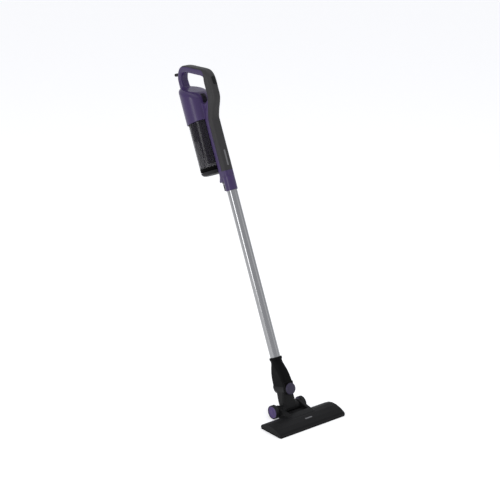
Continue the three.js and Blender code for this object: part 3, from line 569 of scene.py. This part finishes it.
def body_shells():
    """The coloured body: foot, spine, bridge, housing and loop in one moulded skin, halved at the seam."""
    skin = blended([housing_bulk(0), loop_piece("bulk", 0, 1), web(), heel(), saddle()], 1.0, 9)
    cut(skin, loop_piece("space", -0.02, COVER_END))
    foot_front = combine(blended([loop_piece("bulk", 0, 0.14)], 0.9, 4),
                         block(-40, 40, -60, 60, 0, COVER_BOTTOM - GAP), "INTERSECT")
    hollow = cut(loop_piece("hollow", 0.012, 0.16), lid_swing(WALL))
    cut(foot_front, hollow, lathe(rod(SOCKET_R + GAP, 0, 46 + GAP), segments=96))
    cut(skin, lathe(rod(BIN_R + 0.7, LID_BOTTOM - 2, HOUSING_BOTTOM + 0.2, 0.2), 0, BIN_Y, 160),
        housing_bulk(WALL), cut(loop_piece("hollow", 0.012, 1), lid_swing(WALL)), lid_swing(0),
        block(-9.3, 9.3, 0, 30, GRILLE[1] - GAP, GRILLE[2] + GAP),
        block(-11.3, 11.3, 20.1, 25.5, 20, 43.8),
        lathe(rod(SOCKET_R + GAP, 0, 46 + GAP), segments=96))
    skin = combine(skin, foot_front, "UNION")
    for x, y, z in BODY_SCREWS:
        cut(skin, lathe(rod(3.6, x - 1.4, x + 9, 0.1), segments=32,
                        matrix=Matrix.Translation((0, y, z)) @ ALONG_X))
    cut(skin, lathe(rod(5.9, -7, 30, 0), segments=48, matrix=INLET))
    other = linked(skin.data.copy())
    combine(skin, block(-90, -0.15, -90, 150, 0, 500), "INTERSECT")
    combine(other, block(0.15, 90, -90, 150, 0, 500), "INTERSECT")
    done(skin, "hand_unit_shell_left", HAND, "main_unit", PURPLE, ("body_shell_left",))
    done(other, "hand_unit_shell_right", HAND, "main_unit", PURPLE, ("body_shell_right",))


def covers():
    """The dark cover over spine and grip, in two parts that meet on a slanted line."""
    for name in ("spine", "grip"):
        lift = GAP if name == "grip" else 0
        above = prism([(-80, 341 + lift), (120, 73 + lift), (120, 600), (-80, 600)], -30, 30)
        cover = loop_piece("cover", 0, COVER_END - 0.0007)
        combine(cover, above, "INTERSECT" if name == "grip" else "DIFFERENCE")
        cut(cover, block(-40, 40, -60, 60, 0, COVER_BOTTOM))
        if name == "grip":
            place = Matrix.Translation((0, 0, BUTTON_Z)) @ FRONT
            cut(cover, rounded_plate(12.6, 26.6, 6.2, 48, 60, 0.1, matrix=place))
        else:
            cut(cover, block(-3.3, 3.3, -20, -13.6, 78, 130))
        soften(cover, 0.35, 2, 50)
        applied(cover)
        done(cover, f"{name}_cover_moulding", HAND, "main_unit", DARK, (f"{name}_cover",))


def grip_controls():
    button = rounded_plate(12, 26, 6, 49.5, 55, 1.6, matrix=Matrix.Translation((0, 0, BUTTON_Z)) @ FRONT)
    for z in (-6, -3, 0, 3, 6):
        cut(button, block(-3.6, 3.6, -56, -54.6, BUTTON_Z + z - 0.45, BUTTON_Z + z + 0.45))
    done(button, "power_button_cap", HAND, "power_button", BLACK, ("power_button",), 0.00015)
    badge = rounded_plate(6, 51, 2.2, 14, 15.2, 0.4, matrix=Matrix.Translation((0, 0, 104)) @ FRONT)
    done(badge, "spine_badge_plate", HAND, "main_unit", LABEL, ("spine_badge",))


# the grille panel on the housing's front shoulder, finished in a dark purple that paints in the shade of the
# recess under the grip
def vent():
    panel = housing_bulk(0)
    cut(panel, housing_bulk(WALL))
    half, low, high = GRILLE
    combine(panel, block(-half, half, 0, 30, low, high), "INTERSECT")
    for i in range(7):
        z = low + 3.6 + i * 4
        cut(panel, block(-half + 2, half - 2, 0, 40, z - 0.9, z + 0.9))
    done(panel, "vent_louvres", HAND, "main_unit", SHADED_VENT, ("vent_grille",), 0.0003)


def inlet():
    profile = filleted([(0, -6, 0), (5.6, -6, 0.4), (5.6, 20, 0.8), (5, 23, 0.8), (5, 33.9, 1.2),
                        (2.6, 33.9, 0.5), (2.6, 22, 0.3), (0, 22, 0)])
    boss = lathe(profile, segments=64, matrix=INLET)
    for y in (26, 28.5, 31):
        cut(boss, lathe(tube_wall(4.6, 7, y, y + 0.9, 0.05), segments=64, matrix=INLET))
    done(boss, "charge_inlet_boss", HAND, "main_unit", BLACK, ("charge_inlet",))


def wand_socket():
    profile = filleted([(TUBE_R + GAP, 0, 0.5), (SOCKET_R - 0.6, 0, 0.8), (SOCKET_R, 2, 1),
                        (SOCKET_R, 46, 0.4), (12, 46, 0.2), (12, 34, 0.2), (TUBE_R + GAP, SOCKET_DEPTH, 0.2)])
    socket = lathe(profile, segments=128)
    cut(socket, block(-9.3, 9.3, 10, 30, 2.7, 25.8))
    done(socket, "wand_socket_sleeve", HAND, "main_unit", PURPLE, ("wand_socket",), 0.0003)
    button = block(-9, 9, 19.7, 26.5, 3, 25.5)
    for z in (16, 18.5, 21):
        cut(button, block(-6.4, 6.4, 25.8, 28, z - 0.5, z + 0.5))
    done(button, "wand_release", HAND, "wand_button", BLACK, ("wand_release_button",),
         0.0006)
    button = block(-11, 11, 20.4, 25.2, 26.5, 38.5)
    for x in (-6, -3, 0, 3, 6):
        cut(button, block(x - 0.5, x + 0.5, 21.4, 24.2, 26, 27))
    done(button, "bin_release", HAND, "bin_button", BLACK, ("bin_release_button",), 0.0008)


# ---------- dust bin ----------
def dust_bin():
    wall = lathe(tube_wall(BIN_R - 2, BIN_R, BIN_BOTTOM + 11, BIN_TOP, 0.5), 0, BIN_Y, 160)
    cut(wall, block(-8, 8, 10, 30, 200, 222))
    done(wall, "clear_bin", HAND, "bin", SMOKE, ("dust_bin",))
    band = lathe(filleted([(BIN_R - 2.3, BIN_BOTTOM, 0.3), (BIN_R, BIN_BOTTOM, 0.6),
                           (BIN_R, BIN_BOTTOM + 4, 0.2), (BIN_R - 0.5, BIN_BOTTOM + 4.6, 0.2),
                           (BIN_R - 0.5, BIN_BOTTOM + 6, 0.2),
                           (BIN_R, BIN_BOTTOM + 6.6, 0.2), (BIN_R, BIN_BOTTOM + 10.7, 0.4),
                           (BIN_R - 2.3, BIN_BOTTOM + 10.7, 0.3)]), 0, BIN_Y, 160)
    for side in (-1, 1):
        low, high = sorted((side * 4, side * 9))
        lug = block(low, high, BIN_Y + BIN_R - 1.3, HINGE_Y, BIN_BOTTOM + 0.5, BIN_BOTTOM + 5, 0.5)
        band = combine(combine(band, lug, "UNION"), knuckle(low, high), "UNION")
    cut(band, hinge_bore())
    done(band, "bin_foot_band", HAND, "bin", SEAL, ("bin_foot",))


def knuckle(low, high):
    return lathe(rod(KNUCKLE_R, low, high), segments=40, matrix=HINGE_LINE)


def hinge_bore():
    return lathe(rod(HINGE_BORE_R, -20, 20, 0), segments=32, matrix=HINGE_LINE)


def bin_lid():
    dome = lathe(filleted([(0, LID_BOTTOM, 0), (30, LID_BOTTOM + 0.2, 12), (38, 66, 4), (42.4, 71, 3),
                           (BIN_R, 76.7, 0.6), (41.4, 76.7, 0.4), (40, 72, 3), (36.4, 68, 4), (29, 66, 8),
                           (0, 65.8, 0)], 8), 0, BIN_Y, 160)
    neck = block(-3.7, 3.7, BIN_Y + 41.5, HINGE_Y, 71.5, 76.4, 0.5)
    dome = combine(combine(dome, neck, "UNION"), knuckle(-3.7, 3.7), "UNION")
    cut(dome, hinge_bore())
    done(dome, "bin_lid_dome", HAND, "bin_lid", LID, ("bin_lid",))


def cyclone():
    """The shroud with its rows of small slots, and the stepped cone inside it."""
    shroud = lathe(filleted([(37, 242, 0.3), (39, 242, 0.3), (39, 214, 2), (36.6, 190, 2), (38.6, 183, 1),
                             (37.4, 180, 0.5), (35, 180, 0.5), (34.4, 190, 2), (37, 214, 2)]), 0, BIN_Y, 120)
    slots = []
    for row in range(5):
        for i in range(36):
            a = 2 * math.pi * (i + 0.5 * (row % 2)) / 36
            place = Matrix.Translation((0, BIN_Y, 195 + row * 8)) @ Matrix.Rotation(a, 4, "Z")
            slots.append(block(30, 44, -1.0, 1.0, -2.6, 2.6, matrix=place))
    cut(shroud, joined(*slots))
    done(shroud, "cyclone_shroud_slotted", HAND, "bin", SHROUD, ("cyclone_shroud",))
    cone = lathe(filleted([(32, 242, 0.3), (34, 242, 0.3), (24.4, 182, 3), (23, 140, 2), (16, 102, 0.5),
                           (14.4, 102, 0.5), (21.4, 140, 2), (22.4, 182, 3)]), 0, BIN_Y, 120)
    done(cone, "cyclone_cone_moulding", HAND, "bin", SHROUD, ("cyclone_cone",))


# ---------- wand and neck ----------
def wand():
    tube = lathe(tube_wall(TUBE_R - 1.1, TUBE_R, 112.3, BODY_Z + SOCKET_DEPTH - GAP, 0.3), segments=160)
    done(tube, "wand_tube_drawn", HANDLE, "wand", WAND, ("wand_tube",))


def rounded_ring(z, w, d, r, y=0.0, count=96):
    r = min(r, w - 0.01, d - 0.01)
    line = []
    for sx, sy, a0 in ((1, 1, 0), (-1, 1, 90), (-1, -1, 180), (1, -1, 270)):
        for k in range(13):
            a = math.radians(a0 + 90 * k / 12)
            line.append((sx * (w - r) + r * math.cos(a), sy * (d - r) + r * math.sin(a)))
    return [(p[0], p[1] + y, z) for p in resampled(line, count, closed=True)]


def rounded_loft(levels, steps):
    rings = []
    for i in range(steps + 1):
        z, w, d, r, y = through(levels, i / steps)
        rings.append(rounded_ring(z, w, d, r, y))
    return loft(rings)


def collar():
    """The sleeve that spreads into a fork with an ear before and behind the side-to-side joint."""
    sleeve = rounded_loft([(66, 18.5, 31, 9, -2), (87, 19.4, 31, 10, -2), (112, 19.6, 27.5, 12, -1),
                           (134, 19.2, 22.8, 17, 0), (146, 18.4, 18.8, 18.2, 0),
                           (156, 18.2, 18.2, 18.1, 0)], 90)
    lip_profile = filleted([(0, 156, 0), (18, 155, 0.5), (20.3, 157.5, 1), (20.3, 165, 1), (0, 165, 0)])
    lip = lathe(lip_profile, segments=128)
    front = lathe(rod(18.5, -EAR_OUTER, -EAR_INNER, 1), segments=96, matrix=ROLL @ ALONG_Y)
    bridge = block(-17.5, 17.5, -EAR_OUTER + 4, -EAR_INNER, 0, 22, matrix=ROLL)
    rear = lathe(rod(12.5, EAR_INNER, EAR_OUTER - 3, 1), segments=96, matrix=ROLL @ ALONG_Y)
    strut = block(-12, 12, EAR_INNER, EAR_OUTER - 4, 0, 16, matrix=ROLL)
    fork = blended([sleeve, lip, front, bridge, rear, strut], 0.6, 6)
    cut(fork, block(-40, 40, -EAR_INNER, EAR_INNER, -80, 4, matrix=ROLL),
        lathe(rod(LINK_R + 0.5, -EAR_INNER, EAR_INNER, 0), segments=160, matrix=ROLL @ ALONG_Y),
        lathe(rod(4.3, -60, 60, 0), segments=48, matrix=ROLL @ ALONG_Y),
        lathe(rod(TUBE_R + GAP, 112, 200, 0), segments=128),
        lathe(rod(13.5, 60, 200, 0), segments=96))
    done(fork, "neck_fork", HANDLE, "wand", FORK, ("neck_collar",))
    profile = filleted([(0, 0, 0), (18.4, 0, 0.3), (18.4, 2.7, 0.8), (16.6, 4.4, 0.6), (15.6, 4.4, 0.4),
                        (15, 3.9, 0.4), (10, 4.6, 2), (0, 5, 0)], 6)
    cap = lathe(profile, segments=128, matrix=ROLL @ Matrix.Translation((0, -EAR_OUTER - GAP, 0)) @ FRONT)
    done(cap, "front_joint_cap", HANDLE, "wand", CAP_PURPLE, ("roll_cap_front",))
    profile = filleted([(0, 0, 0), (12, 0, 0.3), (12, 1.8, 0.6), (10, 3.1, 1.2), (0, 3.3, 0)], 6)
    cap = lathe(profile, segments=96, matrix=ROLL @ Matrix.Translation((0, EAR_OUTER + GAP, 0)) @ ALONG_Y)
    done(cap, "rear_joint_cap", HANDLE, "wand", BLACK, ("roll_cap_rear",))


def link():
    """The knuckle between the fork and the floor nozzle's arms."""
    neck = rounded_loft([(0, 24, 17, 9, 0), (20, 24, 17.5, 9, 0), (38, 23, 18, 9, 0), (50, 20, 20, 9, 0),
                         (57, 18, 23, 8, 0)], 60)
    barrel = lathe(rod(LINK_R, GAP - EAR_INNER, EAR_INNER - GAP, 1), segments=120, matrix=ROLL @ ALONG_Y)
    trunnion = lathe(rod(TILT_R, GAP - ARM_INNER, ARM_INNER - GAP, 1), segments=120, matrix=ALONG_X)
    knuckle = blended([neck, barrel, trunnion], 0.65, 6)
    cut(knuckle, lathe(rod(11.5, 8, 100, 0), segments=96),
        lathe(rod(11, 10 - ARM_INNER, ARM_INNER - 10, 0), segments=96, matrix=ALONG_X),
        block(-11, 11, -30, -4, -6, 6, matrix=Matrix.Rotation(math.radians(48), 4, "X")),
        lathe(rod(4.3, -60, 60, 0), segments=48, matrix=ROLL @ ALONG_Y),
        lathe(rod(4.3, -60, 60, 0), segments=48, matrix=ALONG_X))
    done(knuckle, "neck_knuckle", HANDLE, "neck_link", BLACK, ("neck_link",))


# ---------- floor nozzle ----------
ARCH = [(NOZZLE_FRONT, 3.3), (NOZZLE_FRONT, 9), (-50, 14), (-34, 21), (-14, 26), (6, 26.5), (22, 22.5),
        (NOZZLE_REAR - 2, 12.5), (NOZZLE_REAR, 10), (NOZZLE_REAR, 3.3)]
ARCH_ROUND = [0.4, 2.5, 8, 14, 22, 20, 14, 2.5, 1.5, 0.4]
HOLLOW = [(-52.4, -1), (-52.4, 9), (-48, 12), (-33, 18.5), (-13.5, 23.4), (5, 23.9), (20, 20), (38, 10.5),
          (39.4, 9), (39.4, -1)]


def nozzle_skin():
    outline = filleted([(y, z, r) for (y, z), r in zip(ARCH, ARCH_ROUND)], 8)
    rings = []
    steps = 10
    edge = 4.5
    for side in (-1, 1):
        for k in range(steps, -1, -1) if side < 0 else range(steps + 1):
            a = k / steps * math.pi / 2
            x = side * (NOZZLE_HALF - edge * (1 - math.sin(a)))
            drop = edge * 0.55 * (1 - math.cos(a))
            shrink = edge * 0.4 * (1 - math.cos(a))
            ring = []
            for y, z in outline:
                lift = max(0.0, (z - 3.3) / 23.2)
                ring.append((x, y * (1 - shrink / 55), z - drop * lift ** 0.5))
            rings.append(ring)
    return loft(rings)


def arm(side):
    profile = [(-12, 20), (-6, 27), (14, 30), (40, 35), (56, 39)]
    for k in range(25):
        a = 1.7 - 2.9 * k / 24
        profile.append((WHEEL_Y - 6 + 18.5 * math.cos(a), TILT_Z + 18.5 * math.sin(a)))
    profile += [(50, 3.3), (34, 3.3)]
    low, high = sorted((side * ARM_INNER, side * ARM_OUTER))
    piece = prism(profile, low, high)
    soften(piece, 2, 4, 60)
    return applied(piece)


def nozzle_shell():
    outline = filleted([(-30, 18, 0), (-8, 27.5, 10), (14, 30, 14), (22, 26, 6), (24, 20, 0)], 8)
    deck = prism(outline, -ARM_OUTER, ARM_OUTER)
    soften(deck, 2, 4, 60)
    throat = prism(filleted([(18, 10, 0), (18, 24, 0), (26, 22.5, 4), (46, 20.5, 4), (52, 14, 3), (50, 5, 1),
                             (36, 5, 0)]), -ARM_INNER - 1, ARM_INNER + 1)
    shell = blended([nozzle_skin(), applied(deck), throat, arm(-1), arm(1)], 0.75, 5)
    hollow = loft([[(x, y, z) for y, z in HOLLOW] for x in (4 - NOZZLE_HALF, NOZZLE_HALF - 4)])
    pin_line = Matrix.Translation((0, TILT_Y, TILT_Z)) @ ALONG_X
    wheel_line = Matrix.Translation((0, WHEEL_Y, WHEEL_R)) @ ALONG_X
    cut(shell, block(-200, 200, -100, 200, -5, 3.3), hollow,
        lathe(rod(TILT_R + 1, -ARM_INNER, ARM_INNER, 0), segments=120, matrix=pin_line),
        block(-14, 14, 30, 60, 8, 17.5),
        lathe(rod(4.3, -40.8, 40.8, 0), segments=48, matrix=pin_line),
        lathe(rod(3.3, -60, -41.7, 0), segments=48, matrix=wheel_line),
        lathe(rod(3.3, 41.7, 60, 0), segments=48, matrix=wheel_line),
        rounded_plate(28.6, 5.6, 2.2, -1, 3, 0.05, matrix=BADGE))
    done(shell, "nozzle_housing", ROW, "floor_nozzle", NOZZLE, ("nozzle_shell",))
    plate = rounded_plate(28, 5, 2, -0.7, 0.5, 0.3, matrix=BADGE)
    done(plate, "nozzle_badge_plate", ROW, "floor_nozzle", LABEL, ("nozzle_badge",))


def sole():
    """The flat sole with its mouth and the three strips' slots, its rim turned up all round."""
    rings = []
    w, d, y0 = NOZZLE_HALF, (NOZZLE_REAR - NOZZLE_FRONT) / 2, (NOZZLE_REAR + NOZZLE_FRONT) / 2
    for inset, z in ((1.0, 0), (0.4, 0.15), (0.1, 0.5), (0, 1), (0, 2.6), (0.3, 3)):
        a, b = w - inset, d - inset
        corner = [(a, b, 6), (-a, b, 6), (-a, -b, 6), (a, -b, 6)]
        rings.append([(x, y + y0, z) for x, y in filleted(corner, 10)])
    plate = loft(rings)
    for low, high, half in [(-50.3, -43.7, 100.3), (-38, -18, 96), (-12.3, -5.7, 100.3), (17.7, 24.3, 100.3)]:
        cut(plate, block(-half, half, low, high, -2, 6))
    for x in (-112, 112):
        for y in (-46, 32):
            cut(plate, lathe(rod(3.6, -1, 1.4, 0), x, y, 40))
    cut(plate, lathe(rod(TILT_R + 1, -ARM_INNER, ARM_INNER, 0), segments=96,
                     matrix=Matrix.Translation((0, TILT_Y, TILT_Z)) @ ALONG_X))
    done(plate, "sole_plate_moulding", ROW, "floor_nozzle", SOLE, ("sole_plate",), 0.0002)


def wheels():
    for side, tag in ((-1, "left"), (1, "right")):
        outward = ALONG_X if side > 0 else ALONG_X.inverted()
        turn = Matrix.Translation((side * WHEEL_X, WHEEL_Y, WHEEL_R)) @ outward
        hub = lathe(filleted([(3.3, -6.5, 0.3), (HUB_R, -6.5, 0.5), (HUB_R, 6.4, 0.8), (17.4, 6.4, 0.4),
                              (16.6, 5.6, 0.4), (7.5, 5.4, 3), (6.6, 6.2, 0.4), (0, 6.3, 0), (0, 4.5, 0),
                              (3.3, 4.5, 0.1)], 6), segments=128, matrix=turn)
        done(hub, f"wheel_hub_{tag}", ROW, f"wheel_{tag}", WHEEL_PURPLE, (f"wheel_{tag}",))
        profile = filleted([(HUB_R + GAP, -6.5, 0.4), (WHEEL_R - 0.2, -6.5, 1), (WHEEL_R, -2.2, 0.6),
                            (WHEEL_R - 0.6, -1.8, 0.2), (WHEEL_R - 0.6, 1.8, 0.2), (WHEEL_R, 2.2, 0.6),
                            (WHEEL_R - 0.2, 6.5, 1), (HUB_R + GAP, 6.5, 0.4)])
        tyre = lathe(profile, segments=160, matrix=turn)
        done(tyre, f"tyre_band_{tag}", ROW, f"wheel_{tag}", RUBBER, (f"tyre_{tag}",))


def screws():
    for i, (x, y, z) in enumerate(BODY_SCREWS):
        place = HAND @ Matrix.Translation((x - 1.1, y, z)) @ ALONG_X
        screw_head(f"case_screw_{i + 1}", place, "main_unit", (f"body_screw_{i + 1}",))
    for i, (x, y) in enumerate([(-112, -46), (112, -46), (-112, 32), (112, 32)]):
        place = ROW @ Matrix.Translation((x, y, 1.3)) @ Matrix.Rotation(math.pi, 4, "X")
        screw_head(f"sole_screw_head_{i + 1}", place, "floor_nozzle", (f"sole_screw_{i + 1}",))


def kept_nodes():
    """CAD nodes whose shape is already right: soft edges and their own finish."""
    finishes = {
        "bin_button_spring": STEEL, "air_duct": BLACK, "battery_pack": GREY, "control_board": BOARD,
        "motor": COPPER, "motor_shaft": STEEL, "impeller": GREY, "motor_ring": RUBBER,
        "fan_shroud": BLACK, "pleated_filter": FELT, "filter_frame": BLACK, "lid_hinge_pin": STEEL,
        "roll_pin": BRIGHT, "tilt_pin": STEEL,
        "bristle_strip": BRISTLE, "lint_strip_front": RUBBER, "lint_strip_rear": RUBBER,
        "wheel_axle_left": STEEL, "wheel_axle_right": STEEL,
    }
    for name, material in finishes.items():
        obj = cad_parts[name]
        obj.data.materials.clear()
        obj.data.materials.append(material)
        if name != "bin_button_spring":
            soften(obj, 0.0002, 2)


body_shells()
covers()
grip_controls()
vent()
inlet()
wand_socket()
dust_bin()
bin_lid()
cyclone()
wand()
collar()
link()
nozzle_shell()
sole()
wheels()
screws()
kept_nodes()


# ---------- floor and light ----------
def studio():
    floor_mesh = bpy.data.meshes.new("floor")
    bm = bmesh.new()
    bmesh.ops.create_grid(bm, x_segments=1, y_segments=1, size=12)
    bm.to_mesh(floor_mesh)
    bm.free()
    floor = linked(floor_mesh, "floor")
    nodes = Nodes("pale_floor")
    nodes.shader.inputs["Base Color"].default_value = (0.9, 0.9, 0.9, 1)
    nodes.shader.inputs["Roughness"].default_value = 0.9
    nodes.shader.inputs["Specular IOR Level"].default_value = 0.1
    nodes.shader.inputs["Emission Color"].default_value = (1, 1, 1, 1)
    nodes.shader.inputs["Emission Strength"].default_value = 0.3
    floor.data.materials.append(nodes.material)


def area_light(name, place, target, size, power):
    data = bpy.data.lights.new(name, "AREA")
    data.shape = "RECTANGLE"
    data.size, data.size_y = size
    data.energy = power
    light = bpy.data.objects.new(name, data)
    light.location = place
    light.rotation_euler = (Vector(target) - Vector(place)).to_track_quat("-Z", "Y").to_euler()
    bpy.context.scene.collection.objects.link(light)


def world_light(strength):
    world = bpy.data.worlds.new("studio")
    world.use_nodes = True
    world.node_tree.nodes["Background"].inputs["Color"].default_value = (0.95, 0.96, 1, 1)
    world.node_tree.nodes["Background"].inputs["Strength"].default_value = strength
    bpy.context.scene.world = world


bpy.context.scene.view_settings.view_transform = "Standard"
studio()
world_light(0.75)
area_light("key", (-3.4, -0.2, 1.6), (0, 0.3, 0.6), (0.9, 2.6), 30)
area_light("top", (0.3, 0.2, 3.4), (0, 0.3, 0.4), (2.6, 2.6), 22)
area_light("fill", (2.2, -3.2, 1.8), (0, 0.3, 0.5), (2.0, 2.0), 5)

bpy.context.view_layer.update()
